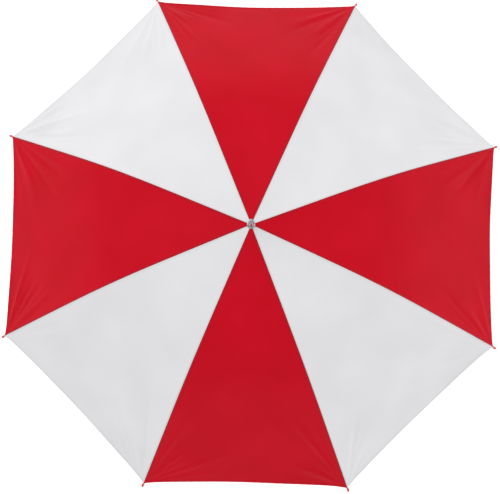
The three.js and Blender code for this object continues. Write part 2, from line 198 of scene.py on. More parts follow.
def make(name, patches, materials, body=None, replaces=(), sharp=35):
    """A piece from its patches, riding on a body. Where every patch brings its normals they are
    kept, and else the faces are smooth up to a fold that is sharper than the angle given."""
    for part in patches:
        if part["normals"] is None and inside_out(part):
            part["faces"], part["uv"] = part["faces"][:, ::-1], part["uv"][:, ::-1]
    starts = np.cumsum([0] + [len(part["points"]) for part in patches[:-1]])
    faces = np.concatenate([part["faces"] + start for part, start in zip(patches, starts)])
    mesh = bpy.data.meshes.new(name)
    mesh.from_pydata(np.concatenate([part["points"] for part in patches]), [], faces.tolist())
    layer = mesh.uv_layers.new(name="cloth")
    layer.data.foreach_set("uv", np.concatenate([part["uv"] for part in patches]).ravel())
    numbers = np.concatenate([np.full(len(part["faces"]), part["material"]) for part in patches])
    mesh.polygons.foreach_set("material_index", numbers.astype(np.int32))
    for material in materials:
        mesh.materials.append(material)
    mesh.shade_smooth()
    if all(part["normals"] is not None for part in patches):
        normals = np.concatenate([part["normals"] for part in patches])
        mesh.normals_split_custom_set(normals.reshape(-1, 3).tolist())
    else:
        mesh.set_sharp_from_angle(angle=math.radians(sharp))
    mesh.update()
    piece = bpy.data.objects.new(name, mesh)
    scene.collection.objects.link(piece)
    if body:
        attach(piece, body)
    if replaces:
        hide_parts(*replaces)
    return piece


# ---- Materials ----


def linear(code):
    """An sRGB hex colour as linear red, green, blue and alpha."""
    channels = np.array([int(code[i : i + 2], 16) for i in (0, 2, 4)]) / 255
    curved = ((channels + 0.055) / 1.055) ** 2.4
    return (*np.where(channels <= 0.04045, channels / 12.92, curved).tolist(), 1.0)


def node(tree, kind, values=(), links=(), **settings):
    """Adds a node with its settings, its sockets' values and the outputs that feed them."""
    made = tree.nodes.new(kind)
    for name, value in settings.items():
        setattr(made, name, value)
    for socket, value in dict(values).items():
        made.inputs[socket].default_value = value
    for socket, source in dict(links).items():
        tree.links.new(source, made.inputs[socket])
    return made


def finish(name, **values):
    """A material with its shader's constant values: (material, node tree, shader)."""
    material = bpy.data.materials.new(name)
    material.use_nodes = True
    shader = material.node_tree.nodes["Principled BSDF"]
    for socket, value in values.items():
        shader.inputs[socket.replace("_", " ")].default_value = value
    return material, material.node_tree, shader


def noise(tree, scale, detail, place):
    """Soft noise at a place, with about scale blotches to the metre."""
    values = {"Scale": scale, "Detail": detail}
    return node(tree, "ShaderNodeTexNoise", values, {"Vector": place}).outputs["Fac"]


def bump(tree, shader, strength, depth, height):
    """Makes a surface look uneven by a height from 0 to 1, times a depth in metres."""
    values = {"Strength": strength, "Distance": depth}
    uneven = node(tree, "ShaderNodeBump", values, {"Height": height})
    tree.links.new(uneven.outputs["Normal"], shader.inputs["Normal"])


def mottled(tree, place, dark, light, size, detail=3.0):
    """Two colours mixed by soft noise whose blotches are about size metres across, and the
    noise."""
    blotches = noise(tree, 1 / size, detail, place)
    ramp = node(tree, "ShaderNodeValToRGB", links={"Fac": blotches})
    for stop, position, code in zip(ramp.color_ramp.elements, (0.3, 0.7), (dark, light)):
        stop.position, stop.color = position, linear(code)
    return ramp.outputs["Color"], blotches


DYE_CLOUD = 0.16  # metres across: the dye is even, but for broad and faint clouds
SLUBS_PER_METRE = (14, 900, 1)  # so a slub is about 70 mm long and 1 mm wide
SLUB_SHOWS = 0.22
YARN_SPACING = 0.0007
YARN_RELIEF = 0.00005


def taffeta(name, dark, light, slub, spacing=YARN_SPACING):
    """Polyester taffeta: fine filament yarn in a tight plain weave, dyed and heat-set, so it has a
    soft sheen, faint slubs along the weft and no visible fuzz. The real yarns are 0.15 mm apart,
    and are drawn 0.7 mm apart so that the weave shows."""
    material, tree, shader = finish(
        name, Roughness=0.55, Sheen_Weight=0.015, Sheen_Roughness=0.4, Specular_IOR_Level=0.07
    )
    place = node(tree, "ShaderNodeUVMap", uv_map="cloth").outputs["UV"]
    colour, _ = mottled(tree, place, dark, light, DYE_CLOUD, 1.5)
    slubs = node(tree, "ShaderNodeMapping", {"Scale": SLUBS_PER_METRE}, {"Vector": place})
    streaks = noise(tree, 1.0, 2.0, slubs.outputs["Vector"])
    mixed = node(
        tree, "ShaderNodeMix", {"B": linear(slub)}, {"Factor": streaks, "A": colour},
        data_type="RGBA",
    )
    faint = node(
        tree, "ShaderNodeMix", {"Factor": SLUB_SHOWS}, data_type="RGBA",
        links={"A": colour, "B": mixed.outputs["Result"]},
    )
    tree.links.new(faint.outputs["Result"], shader.inputs["Base Color"])
    turns = math.tau / spacing
    yarns = node(tree, "ShaderNodeMapping", {"Scale": (turns, turns, 1)}, {"Vector": place})
    apart = node(tree, "ShaderNodeSeparateXYZ", links={"Vector": yarns.outputs["Vector"]})
    warp, weft = (
        node(tree, "ShaderNodeMath", links={0: apart.outputs[axis]}, operation="SINE")
        for axis in "XY"
    )
    weave = node(
        tree, "ShaderNodeMath", operation="MULTIPLY",
        links={0: warp.outputs["Value"], 1: weft.outputs["Value"]},
    )
    bump(tree, shader, 0.25, YARN_RELIEF, weave.outputs["Value"])
    return material


def grained(name, dark, light, blotch, grit, depth, **values):
    """A moulded, coated or worked surface: colour that varies a little over blotches, roughness
    from 0.05 less to 0.07 more with it, and a fine grain of the given depth. The three sizes are
    in metres."""
    material, tree, shader = finish(name, **values)
    place = node(tree, "ShaderNodeTexCoord").outputs["Object"]
    colour, blotches = mottled(tree, place, dark, light, blotch)
    tree.links.new(colour, shader.inputs["Base Color"])
    rough = values.get("Roughness", 0.5)
    spread = node(
        tree, "ShaderNodeMapRange", {"To Min": rough - 0.05, "To Max": rough + 0.07},
        {"Value": blotches},
    )
    tree.links.new(spread.outputs["Result"], shader.inputs["Roughness"])
    bump(tree, shader, 0.5, depth, noise(tree, 1 / grit, 4.0, place))
    return material


RED_CLOTH = taffeta("red polyester taffeta", "C0041A", "CC0822", "D41028")
WHITE_CLOTH = taffeta("white polyester taffeta", "E1E1E3", "E9E9EB", "DCDCDF")
# The same cloth, felled over the ribs in three layers, which stretch its weave a little.
SEAM_SPACING = 0.0009
# The red seam is darker than the red panel: partly the deeper red of three dyed layers, partly
# painted shade that draws the dark line along the seam.
RED_SEAM_PAINTED_SHADE = taffeta(
    "red taffeta, felled in three layers", "AE061C", "B80A20", "C01026", SEAM_SPACING
)
WHITE_SEAM = taffeta(
    "white taffeta, felled in three layers", "DCDBDD", "E4E2E5", "D6D4D8", SEAM_SPACING
)

# Spun polyester sewing thread, a little shinier than the cloth, with the grain of its twist.
RED_THREAD = grained(
    "red sewing thread", "B01828", "C42C3C", 0.004, 0.0003, 0.00004, Roughness=0.5, Sheen_Weight=0.2
)
WHITE_THREAD = grained(
    "white sewing thread", "C8CAD0", "DCDDE1", 0.004, 0.0003, 0.00004, Roughness=0.5,
    Sheen_Weight=0.2,
)
# Injection-moulded polypropylene: even colour, soft gloss, and a slight orange peel.
RED_PLASTIC = grained(
    "moulded red polypropylene", "CE120E", "DA1C16", 0.012, 0.0012, 0.00002, Roughness=0.34,
    Specular_IOR_Level=0.5,
)
# Turned steel, polished and nickel plated: a bright mirror with faint hazy patches.
NICKEL = grained(
    "nickel-plated steel", "9A9A9D", "B8B8BB", 0.006, 0.0008, 0.000002, Roughness=0.05,
    Metallic=1.0,
)
# Steel with baked black lacquer: a smooth skin with a little orange peel over a dark ground.
LACQUER = grained(
    "black lacquered steel", "111214", "1C1D20", 0.03, 0.0015, 0.00003, Roughness=0.3,
    Coat_Weight=0.4, Coat_Roughness=0.15,
)
# Cold-drawn spring steel, left bare and oiled: grey, with a slightly rough drawn surface.
SPRING_STEEL = grained(
    "bare spring steel", "7E8185", "A2A5A8", 0.004, 0.0005, 0.00002, Roughness=0.34, Metallic=1.0
)
# Injection-moulded acetal: black, half matt, with the faint grain of a spark-eroded mould.
ACETAL = grained(
    "moulded black acetal", "161617", "212123", 0.01, 0.0006, 0.00004, Roughness=0.45
)
# Closed-cell EVA foam, ground to size: dull black, with small open pores over its skin.
FOAM = grained(
    "ground black EVA foam", "19191B", "2B2B2E", 0.003, 0.0011, 0.00035, Roughness=0.88,
    Sheen_Weight=0.15,
)

# ---- Canopy ----

REACH = 0.00002  # step for the surface's slopes along the rib
SHARE_REACH = REACH / 0.1
SAG = 0.04  # of a panel's half width: how far its middle hangs in
SAG_LEAN = 0.4  # of the sag: how far the middle draws in towards the shaft as well
# Long shallow waves: height, and their spacing over a full turn along and across the panel.
WAVES = ((0.0005, 0.045, 0.06), (0.0004, 0.027, -0.035))
# Small waves that the stitches draw up, along the seam and along the hem: height, spacing, and the
# distance over which they die away.
SEAM_GATHERS = (0.00022, 0.023, 0.012)
HEM_GATHERS = (0.00012, 0.019, 0.014)

# Faint creases run from each corner into its panel. A crease is its angle from the panel's middle
# line, its length, its width at 100 mm from the corner, and its height, less than 0 for a furrow.
crease_draw = np.random.default_rng(11)
CREASE_ANGLES = np.radians(np.array([28, 34, 42, 52, 62, 71, 79, 85]))
CREASE_SHARES = np.array([1, 1, 1, 1, 1, 0.9, 0.4, 0.2])  # shallower towards the hem
DRAWN = (RIB_COUNT, 2, len(CREASE_ANGLES))  # by panel, corner and crease
CREASE_TABLE = stacked(
    CREASE_ANGLES + crease_draw.uniform(-0.05, 0.05, DRAWN),
    crease_draw.uniform(0.11, 0.27, DRAWN),
    crease_draw.uniform(0.0046, 0.0072, DRAWN),
    crease_draw.uniform(0.0010, 0.0024, DRAWN) * CREASE_SHARES * crease_draw.choice([-1, 1], DRAWN),
)
# Corners that are pulled harder, by panel and rib.
DEEPER_CREASES = {
    (1, 1): 2.3, (1, 2): 1.2, (2, 2): 1.2, (2, 3): 1.4, (3, 3): 1.3, (3, 4): 2.1, (4, 4): 1.3,
    (0, 1): 1.2,
}
WAVE_PHASES = crease_draw.uniform(0, math.tau, (RIB_COUNT, 3))


def cloth_line(length):
    """(out, up) of the cloth over a rib. It is a cubic from level, at the crown's hole, to the
    rib's own slope at the shoulder, and from there it stays at one height above the rib."""
    out, up = beside_rib(length, CLOTH_OFFSET)
    end_out, end_up = beside_rib(SHOULDER, CLOTH_OFFSET)
    share = np.clip(length / SHOULDER, 0, 1)
    run, fall = end_out - CROWN_HOLE, -math.tan(rib_slope(SHOULDER))
    eased = share * share * (3 - 2 * share)
    crown_up = NOTCH_HEIGHT + CROWN_TOP
    crown_up = crown_up * (1 - eased) + end_up * eased + fall * run * (share**3 - share**2)
    over_crown = length < SHOULDER
    return (
        np.where(over_crown, CROWN_HOLE + run * share, out),
        np.where(over_crown, crown_up, up),
    )


def hem_rise(length, share):
    """How far the hem lies in from the corner: a parabola between two corners, and a quick curve
    close to each of them, where the cloth narrows to the tab on the tip."""
    beside = cloth_line(np.minimum(length, CORNER))[0] * COS * SIN * np.abs(share)
    return HEM_HOLLOW * (1 - (1 - share) ** 2) + HEM_NOTCH * (1 - np.exp(-beside / NOTCH_WIDTH))


def creased(panel, corner, across, inward):
    """How far creases lift the cloth: each one is a bell across its own line from the corner, that
    widens and rises as it runs, and dies away over the second half of its length."""
    distance = np.hypot(across, inward)
    angle = np.arctan2(across, inward)
    table = CREASE_TABLE[panel, corner]
    turn = angle[..., None] - table[:, 0]
    ray = distance[..., None]
    spread = 0.35 + 0.65 * ray / 0.1
    width = table[:, 2] * spread
    bell = np.exp(-((ray * np.sin(turn) / width) ** 2)) * (np.cos(turn) > 0)
    length = table[:, 1]
    run = smoothstep(ray, 0.006, 0.05) * (1 - smoothstep(ray, 0.5 * length, length))
    return (bell * run * table[:, 3] * np.minimum(spread, 1)).sum(axis=-1)


def canopy(rib, side, length, share):
    """A point of the cloth. The share is 0 over the rib and 1 on the panel's middle line. Between
    two ribs the cloth is straight across, but hangs in by a fiftieth of the panel's width, and is
    lifted a little by creases from the corners, long waves, and gathers along the seam and hem."""
    length, share = np.broadcast_arrays(np.asarray(length, float), np.asarray(share, float))
    out, up = cloth_line(length)
    taut = 1 - (1 - share) ** 2
    sag = SAG * out * SIN * smoothstep(out, 0.020, 0.120) * taut
    x = out * (1 - share * SIN**2) - SAG_LEAN * sag * COS
    y = out * COS * SIN * share - SAG_LEAN * sag * SIN
    z = up - sag
    panel = (rib if side > 0 else rib - 1) % RIB_COUNT
    middle, across = x * COS + y * SIN, x * SIN - y * COS
    corner_out = beside_rib(CORNER)[0]
    own, other = (0, 1) if side > 0 else (1, 0)
    next_rib = (rib + side - 1) % RIB_COUNT + 1
    lift = 0
    for corner, name, way in ((own, rib, 1), (other, next_rib, -1)):
        depth = DEEPER_CREASES.get((panel, name), 1.0)
        inward = corner_out * COS - middle
        lift = lift + depth * creased(panel, corner, corner_out * SIN - way * across, inward)
    phases = WAVE_PHASES[panel]
    signed = across * side
    for (height, along, over), phase in zip(WAVES, phases):
        lift = lift + height * np.sin(middle / along + signed / over + phase)
    lift = lift * smoothstep(share, 0, 0.14) * smoothstep(out, 0.05, 0.2)
    height, pitch, fading = SEAM_GATHERS
    gathers = height * np.sin(length * math.tau / pitch + phases[2])
    lift = lift + gathers * np.exp(-y / fading) * smoothstep(y, 0.002, 0.006)
    height, pitch, fading = HEM_GATHERS
    from_hem = CORNER - hem_rise(CORNER, share) - length
    ripples = height * np.sin(signed * math.tau / pitch + phases[0])
    lift = lift + ripples * np.exp(-np.abs(from_hem) / fading) * smoothstep(share, 0.02, 0.1)
    slope = rib_slope(length)
    outwards = lift * np.sin(slope)
    points = stacked(x + outwards * COS, (y + outwards * SIN) * side, z + lift * np.cos(slope))
    return turned(points, rib_azimuth(rib))


def canopy_normal(rib, side, length, share):
    """The canopy's outward direction, from the surface's slopes along and across the rib."""
    ahead = canopy(rib, side, length + REACH, share)
    behind = canopy(rib, side, length - REACH, share)
    far = canopy(rib, side, length, share + SHARE_REACH)
    near = canopy(rib, side, length, share - SHARE_REACH)
    normal = unit(np.cross(ahead - behind, far - near))
    return normal * np.sign(normal[..., 2:])


def shell(rib, side, lengths, shares, layers):
    """Cloth with its thickness: the grid's outer and inner faces, half the thickness to each side
    of the surface, and a rim round them."""
    middle = canopy(rib, side, lengths, shares)
    normal = canopy_normal(rib, side, lengths, shares)
    half = (SHEET / 2 * layers)[..., None] * normal
    rows, columns = shares.shape
    count = rows * columns
    top = grid_faces(rows, columns)[:, ::-side]
    first = np.arange(columns)
    border = np.concatenate(
        [
            first,
            np.arange(1, rows) * columns + columns - 1,
            (rows - 1) * columns + first[-2::-1],
            np.arange(rows - 2, 0, -1) * columns,
        ]
    )
    following = np.roll(border, -1)
    rim = stacked(border, border + count, following + count, following)[:, ::-side]
    points = np.concatenate([(middle + half).reshape(-1, 3), (middle - half).reshape(-1, 3)])
    faces = np.concatenate([top, top[:, ::-1] + count, rim])
    corners = points[rim]
    outwards = unit(np.cross(corners[:, 2] - corners[:, 0], corners[:, 3] - corners[:, 1]))
    both = np.concatenate([normal.reshape(-1, 3), -normal.reshape(-1, 3)])
    normals = np.concatenate([both[faces[: -len(rim)]], np.repeat(outwards[:, None], 4, axis=1)])
    local = turned(middle, -rib_azimuth(rib))
    across = (local[..., 0] * SIN - side * local[..., 1] * COS) * side
    uv = stacked(across, lengths).reshape(-1, 2)
    return patch(points, faces, normals, np.concatenate([uv, uv]))


STITCH_PITCH, STITCH_GAP = 0.003, 0.0006
STITCH_WIDTH, STITCH_HEIGHT = 0.00045, 0.00030
THREAD = 1  # the thread's place among the materials of a piece of cloth


def stitches(starts, ends, outward):
    """A run of lock stitches: each is a short pad of thread that rises from the cloth, lies along
    its seam and dips back in, with a four-sided section at four stations."""
    along = ends - starts
    beside = unit(np.cross(along, outward))
    stations = np.array([0, 0.22, 0.78, 1])
    breadth = np.array([0.45, 1, 1, 0.45]) * STITCH_WIDTH / 2
    rise = np.array([-0.35, 1, 1, -0.35]) * STITCH_HEIGHT
    section = np.array([[-1, 0], [0, 1], [1, 0], [0, -1]])
    centre = starts[:, None] + along[:, None] * stations[:, None] + (
        outward[:, None] * (rise / 2)[:, None]
    )
    offset = (
        beside[:, None, None] * (section[:, 0] * breadth[:, None])[..., None]
        + outward[:, None, None] * (section[:, 1] * STITCH_HEIGHT / 2)[:, None]
    )
    points = centre[:, :, None] + offset
    ends_closed = [[3, 2, 1, 0], [12, 13, 14, 15]]
    faces = np.concatenate([grid_faces(4, 4, wrap_columns=True), ends_closed])
    every = (faces + np.arange(len(starts))[:, None, None] * 16).reshape(-1, 4)
    normals = unit(offset).reshape(-1, 3)[every]
    return patch(points, every, normals, material=THREAD)


def spaced(line):
    """Starts and ends of stitches along a line of points, at an even pitch."""
    travelled = np.append(0, np.cumsum(np.linalg.norm(np.diff(line, axis=0), axis=1)))
    count = max(1, int(travelled[-1] / STITCH_PITCH))
    starts = np.arange(count) * travelled[-1] / count
    ends = starts + travelled[-1] / count - STITCH_GAP
    return [
        stacked(*(np.interp(place, travelled, axis) for axis in line.T)) for place in (starts, ends)
    ]


def cloth_rows(start, end):
    """Lengths along the rib for the rows of a piece, about 5 mm apart, and closer over the hem's
    fold and its stitches."""
    pitch = 0.005
    if end < CORNER:
        return np.linspace(start, end, round((end - start) / pitch) + 1)
    hem = CORNER - np.array([12, 9, 7.2, 6.6, 6.3, 6.0, 4.6, 3.0, 1.5, 0.5, 0]) / 1000
    return np.append(np.linspace(start, hem[0], round((hem[0] - start) / pitch) + 1), hem[1:])


def squash_plane(side, tilt, level, length):
    """The direction a half panel flattens in as the umbrella folds, and a point on the plane it
    ends up near, both beside a rib along +X. The plane stands 3.5 mm beside the rib, and leans
    outwards so that the folded cloth makes a fin between two ribs."""
    tilt, level = math.radians(tilt), math.radians(level)
    sine = math.sin(tilt)
    axis = np.array([-sine * math.sin(level), side * math.cos(tilt), -sine * math.cos(level)])
    return axis, rib_point(length, CLOTH_OFFSET, 0.0035 * side)


SPLIT = 0.110  # distance from the rib's plane where the outer cloth's two pieces meet
KEEP_NEAR, KEEP_FAR = 0.115, 0.01
INNER_FOLD = (9, 16, 0.200)  # each squash plane's tilt and level, and where it meets the rib
OUTER_FOLD = (20, 37, 0.500)
COLUMNS = {"inner": 27, "near": 25, "far": 30}
HEM_WIDTH = 0.0066
HEM_STITCHING = 0.0045  # in from the hem's edge


def panel_name(number, half):
    """The CAD node of half a panel: panels are numbered by the rib on their right."""
    return f"{'red' if number % 2 == 0 else 'white'}_panel_{number}_{half}_half"


def cloth_grid(part, start, end):
    """Lengths along the rib and shares across the panel, row by row, for a piece of a half panel.
    The inner one spans the half panel, and the near and far ones meet SPLIT from the rib's plane.
    Columns stand closer beside the rib, and rows are drawn in to meet the hem's own line."""
    rows = cloth_rows(start, end)[:, None]
    split = SPLIT / (cloth_line(np.minimum(rows, CORNER - 0.001))[0] * COS * SIN)
    low = split if part == "far" else 0 * rows
    high = split if part == "near" else 0 * rows + 1
    steps = np.linspace(0, 1, COLUMNS[part])
    if part != "far":
        steps = steps**1.25
    shares = low + (high - low) * steps
    drawn_in = smoothstep(rows, CORNER - 0.15, CORNER - 0.012) * hem_rise(CORNER, shares)
    return rows - (drawn_in if part != "inner" else 0 * shares), shares


def hem_stitches(rib, side, low, high):
    """The stitches along the hem between two shares across the panel, from clear of the tab."""
    shares = np.linspace(low, high, 120)
    shares = shares[shares > 0.02]
    seam_line = CORNER - HEM_STITCHING
    reach = seam_line - hem_rise(CORNER, shares)
    line = canopy(rib, side, reach, shares) + 1.5 * SHEET * canopy_normal(rib, side, reach, shares)
    starts, ends = spaced(line)
    between = np.linspace(0, 1, len(starts))
    middles = np.interp(between, np.linspace(0, 1, len(shares)), shares)
    outward = canopy_normal(rib, side, seam_line - hem_rise(CORNER, middles), middles)
    return stitches(starts, ends, outward)


def half_panel(rib, side):
    """Half a panel beside a rib: an inner piece on the rib, and a near and a far piece beyond its
    knee. The near and far ones meet along a line beside the rib. Planes for them to flatten about,
    which would keep that line common to both at different shares, are worked out here but not used."""
    number = rib if side > 0 else (rib - 2) % RIB_COUNT + 1
    node_name = panel_name(number, "right" if side > 0 else "left")
    red = number % 2 == 0
    colours = [RED_CLOTH, RED_THREAD] if red else [WHITE_CLOTH, WHITE_THREAD]
    azimuth = rib_azimuth(rib)
    inner_axis, inner_anchor = squash_plane(side, *INNER_FOLD)
    outer_axis, near_anchor = squash_plane(side, *OUTER_FOLD)
    along = np.linspace(KNEE, 0.72, 20)
    out = turned(canopy(rib, side, along, 0.0), -azimuth)[:, 0]
    line = turned(canopy(rib, side, along, SPLIT / (out * COS * SIN)), -azimuth)
    beyond = ((line - near_anchor) @ outer_axis).mean()
    shift = beyond * (1 - (1 - KEEP_NEAR) / (1 - KEEP_FAR))
    far_anchor = near_anchor + outer_axis * shift
    plans = (
        ("inner", f"rib_{rib}", 0.0, KNEE, inner_axis, inner_anchor, KEEP_NEAR),
        ("near", f"rib_end_{rib}", KNEE, CORNER, outer_axis, near_anchor, KEEP_NEAR),
        ("far", f"rib_end_{rib}", KNEE, CORNER, outer_axis, far_anchor, KEEP_FAR),
    )
    for part, body, start, end, axis, anchor, keep in plans:
        lengths, shares = cloth_grid(part, start, end)
        rows = cloth_rows(start, end)[:, None]
        layers = 1 + 2 * smoothstep(rows + 0 * shares, CORNER - HEM_WIDTH, CORNER - 0.0063)
        if part == "inner":
            layers = 0 * shares + 1
        patches = [shell(rib, side, lengths, shares, layers)]
        if part != "inner":
            patches.append(hem_stitches(rib, side, shares[-1, 0], shares[-1, -1]))
        piece = make(f"{node_name}_{part}", patches, colours, body, [node_name])
        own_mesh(piece)


# ---- Ribs ----


def channel_section():
    """A rolled channel, open downwards: pairs of sideways and above, round its outside and back
    round its inside, with its upper corners rounded."""
    half, wall, top, foot, bend = 0.0020, 0.0006, 0.00175, -0.00175, 0.0008
    angles = np.linspace(0, math.pi / 2, 4)
    outer, inner = (
        stacked(half - bend + radius * np.cos(angles), top - bend + radius * np.sin(angles))
        for radius in (bend, bend - wall)
    )
    right = np.concatenate([[[half, foot]], outer])
    left = right[::-1] * [-1, 1]
    back = np.concatenate([[[half - wall, foot]], inner])
    return np.concatenate([right, left, back * [-1, 1], back[::-1]])


def along_rib(section, lengths):
    """A section of sideways and above pairs, carried along the rib's line."""
    return rib_point(lengths[:, None], section[None, :, 1], section[None, :, 0])


def bar_section(width, high, low):
    """A flat bar with eased edges."""
    half, ease = width / 2, 0.0002
    return np.array(
        [
            [half, low + ease], [half, high - ease], [half - ease, high], [-half + ease, high],
            [-half, high - ease], [-half, low + ease], [-half + ease, low], [half - ease, low],
        ]
    )


def washer(centre, hole, radius, thickness, sides=20):
    """A flat ring round a cross pin in the rib's plane, its section a box with eased corners."""
    half, ease = thickness / 2, 0.0002
    section = np.array(
        [
            [hole, -half], [radius - ease, -half], [radius, -half + ease], [radius, half - ease],
            [radius - ease, half], [hole, half],
        ]
    )
    angle = ring(sides)[:, None]
    points = stacked(
        centre[0] + section[:, 0] * np.cos(angle),
        section[:, 1],
        centre[1] + section[:, 0] * np.sin(angle),
    )
    return patch(points, grid_faces(*points.shape[:2], True, True)[:, ::-1])


def plate(outline, thickness):
    """A flat plate in the rib's plane, from pairs of out and up that run anticlockwise."""
    outline = np.asarray(outline, float)
    half, ease = thickness / 2, 0.00015
    centre = outline.mean(axis=0)
    shrunk = outline + unit(centre - outline) * ease
    levels = ((-half, shrunk), (-half + ease, outline), (half - ease, outline), (half, shrunk))
    return swept(np.stack([stacked(loop[:, 0], level, loop[:, 1]) for level, loop in levels]))


def at_rib(patches, number):
    """Patches made beside a rib along +X, turned to where the numbered rib stands."""
    for part in patches:
        part["points"] = turned(part["points"], rib_azimuth(number))
    return patches


def bend_with_rib(piece):
    """Bakes a piece's place in the scene into its mesh."""
    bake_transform(piece)


def sprung_rib(number):
    """One sprung rib from the notch to its tip, its eye, and the bracket for its stretcher."""
    channel_end = RIB_LENGTH - 0.0255
    lengths = np.linspace(0.0085, channel_end, 121)
    patches = swept(along_rib(channel_section(), lengths))
    eye_bar, spigot = bar_section(0.0020, 0.0012, -0.0012), bar_section(0.0022, 0.0011, -0.0011)
    patches += swept(along_rib(eye_bar, np.linspace(0.0015, 0.018, 5)))
    patches += swept(along_rib(spigot, np.linspace(channel_end - 0.006, 0.740, 5)))
    patches.append(washer((HINGE_RADIUS, NOTCH_HEIGHT), 0.0009, 0.0020, 0.0020))
    inner, outer = f"inner_rib_{number}", f"outer_rib_{number}"
    channel = make(
        f"rib_channel_{number}", at_rib(patches, number), [LACQUER],
        replaces=[inner, outer],
    )
    bend_with_rib(channel)

    rivet = np.stack(beside_rib(KNEE, -BRACKET_DROP))
    round_end = np.linspace(math.radians(200), math.radians(352), 9)
    lobe = rivet + 0.0025 * stacked(np.cos(round_end), np.sin(round_end))
    outline = np.concatenate(
        [lobe, [np.stack(beside_rib(length, 0.0008)) for length in (0.3315, 0.322, 0.314)]]
    )
    bracket = plate(outline, 0.0020) + swept(
        along_rib(bar_section(0.0027, 0.0011, -0.0014), np.linspace(0.311, 0.3315, 4))
    )
    make(
        f"rib_bracket_{number}", at_rib(bracket, number), [LACQUER], f"rib_{number}",
        [inner],
    )


def rib_tip(number):
    """The plastic tip on a rib's end: a turned cap with a collar where the cloth is sewn on, a
    waist, and a domed end. Its profile is pairs of length and radius in millimetres."""
    reach = 0.0240
    profile = np.array(
        [
            [0, 1.9], [0, 2.5], [0.4, 2.75], [4.6, 2.75], [5.2, 2.6], [6.4, 2.45], [7.6, 2.45],
            [8.6, 2.7], [12, 2.95], [17, 3.1], [20.2, 3.05], [21.8, 2.75], [23.0, 2.1],
            [23.75, 1.15], [24.0, 0.3],
        ]
    ) / 1000
    start_out, start_up = beside_rib(RIB_LENGTH - reach)
    slope = rib_slope(RIB_LENGTH - reach / 2)
    angle = ring(28)
    along, radius = profile[:, :1], profile[:, 1:]
    above, sideways = radius * np.cos(angle), radius * np.sin(angle)
    points = stacked(
        start_out + along * math.cos(slope) + above * math.sin(slope),
        sideways,
        start_up - along * math.sin(slope) + above * math.cos(slope),
    )
    make(
        f"domed_tip_{number}", at_rib(swept(points), number), [RED_PLASTIC],
        f"rib_end_{number}", [f"rib_tip_{number}"],
    )


# ---- Seams over the ribs ----


def felled_seam(number):
    """The flat-felled seam over a rib: three layers of cloth folded to the red side, two rows of
    stitches along it, and a narrow tab that runs on to the tip at its end.
    The two bands are handed back by their colours."""
    red_side = 1 if number % 2 == 0 else -1
    lengths = np.concatenate([np.linspace(0.004, 0.716, 179), np.linspace(0.719, 0.7385, 14)])
    out, up = cloth_line(np.minimum(lengths, CORNER + 0.004))
    over_crown = np.arctan2(-np.gradient(up), np.gradient(out))
    slope = np.where(lengths < SHOULDER, over_crown, rib_slope(lengths))
    narrow = smoothstep(lengths, 0.708, 0.733)
    start = smoothstep(lengths, 0.0, 0.030)
    settle = 0.0001 * smoothstep(lengths, 0.728, 0.736)
    fall = 0.38 * narrow  # the tab's sides curve down round the tip
    tip_radius, pressed = 0.0026, 0.00008
    bands = (
        # The red band's darker colour is partly painted shade along the seam.
        ("red", 0.0040, [RED_SEAM_PAINTED_SHADE, RED_THREAD], 0.00075, (0.0008, 0.0031)),
        ("white", 0.0036, [WHITE_SEAM, WHITE_THREAD], 0.00065, (0.0009,)),
    )
    made = {}
    steps = np.array([0, 0.25, 0.5, 0.75, 0.92, 0.985, 1.0])
    profile = np.array([1, 1, 1, 0.97, 0.9, 0.72, 0.25])
    for colour, width, colours, thick, rows in bands:
        side = red_side if colour == "red" else -red_side
        wide = (width * (0.45 + 0.55 * start)) * (1 - 0.52 * narrow)
        across = wide[:, None] * steps
        drop = across**2 * fall[:, None] / tip_radius
        over = SHEET / 2 - pressed - settle[:, None] + (thick - SHEET) * profile - drop
        under = (-SHEET / 2 - 0.0001 - settle)[:, None] - drop
        loop = np.concatenate([over, under[:, ::-1]], axis=1)
        sideways = np.concatenate([across, across[:, ::-1]], axis=1)
        # Beside the rib the cloth runs level across, so its middle falls a little behind the rib's.
        points = stacked(
            out[:, None] + loop * np.sin(slope)[:, None] - sideways * SIN / COS,
            sideways * side,
            up[:, None] + loop * np.cos(slope)[:, None],
        )
        if side < 0:
            points = points[:, ::-1]
        patches = swept(points)
        uv = stacked(patches[0]["points"][:, 1], np.repeat(lengths, points.shape[1]))
        patches[0]["uv"] = uv[patches[0]["faces"]]
        stitched = (lengths > 0.012) & (lengths < 0.726)
        for place in rows:
            line = stacked(
                out + (thick - SHEET / 2) * np.sin(slope) - place * SIN / COS,
                place * side,
                up + (thick - SHEET / 2 - pressed) * np.cos(slope),
            )[stitched]
            starts, ends = spaced(line)
            tilt = np.arctan2(-(ends - starts)[:, 2], (ends - starts)[:, 0])
            outward = stacked(np.sin(tilt), 0 * tilt, np.cos(tilt))
            patches.append(stitches(starts, ends, outward))
        for part in patches:
            part["normals"] = None
        band = make(
            f"{colour}_seam_{number}", at_rib(patches, number), colours,
            sharp=50,
        )
        bend_with_rib(band)
        made[colour] = band
    return made


# ---- Turned pieces about the shaft ----

CATCH_SIDE = -math.pi / 2
BORE_WALL = 0.0079  # a hub's surface within this radius is its bore, which no slot cuts
SLOT_FLOOR, SLOT_HALF_TURN = 0.0081, math.radians(7.3)
GROOVE_HALF_WIDTH, GROOVE_DEPTH = 0.00096, 0.00095
HUB_BORE = 0.0074
ROUND = ring(96)


def lathe(profile, height=0.0, hole=False, cut=None, angles=ROUND):
    """A turned piece: pairs of radius and height in millimetres, outside from the bottom up, then
    down its bore where it has a hole. A cut is a rule that gives each point's radius anew."""
    profile = np.asarray(profile, float) / 1000
    radius, level, _ = np.broadcast_arrays(profile[:, :1], profile[:, 1:], angles)
    if cut:
        radius = cut(radius, level, angles[None, :])
    points = stacked(radius * np.cos(angles), radius * np.sin(angles), level + height)
    if hole:
        return [patch(points, grid_faces(*radius.shape, True, True))]
    return swept(points)


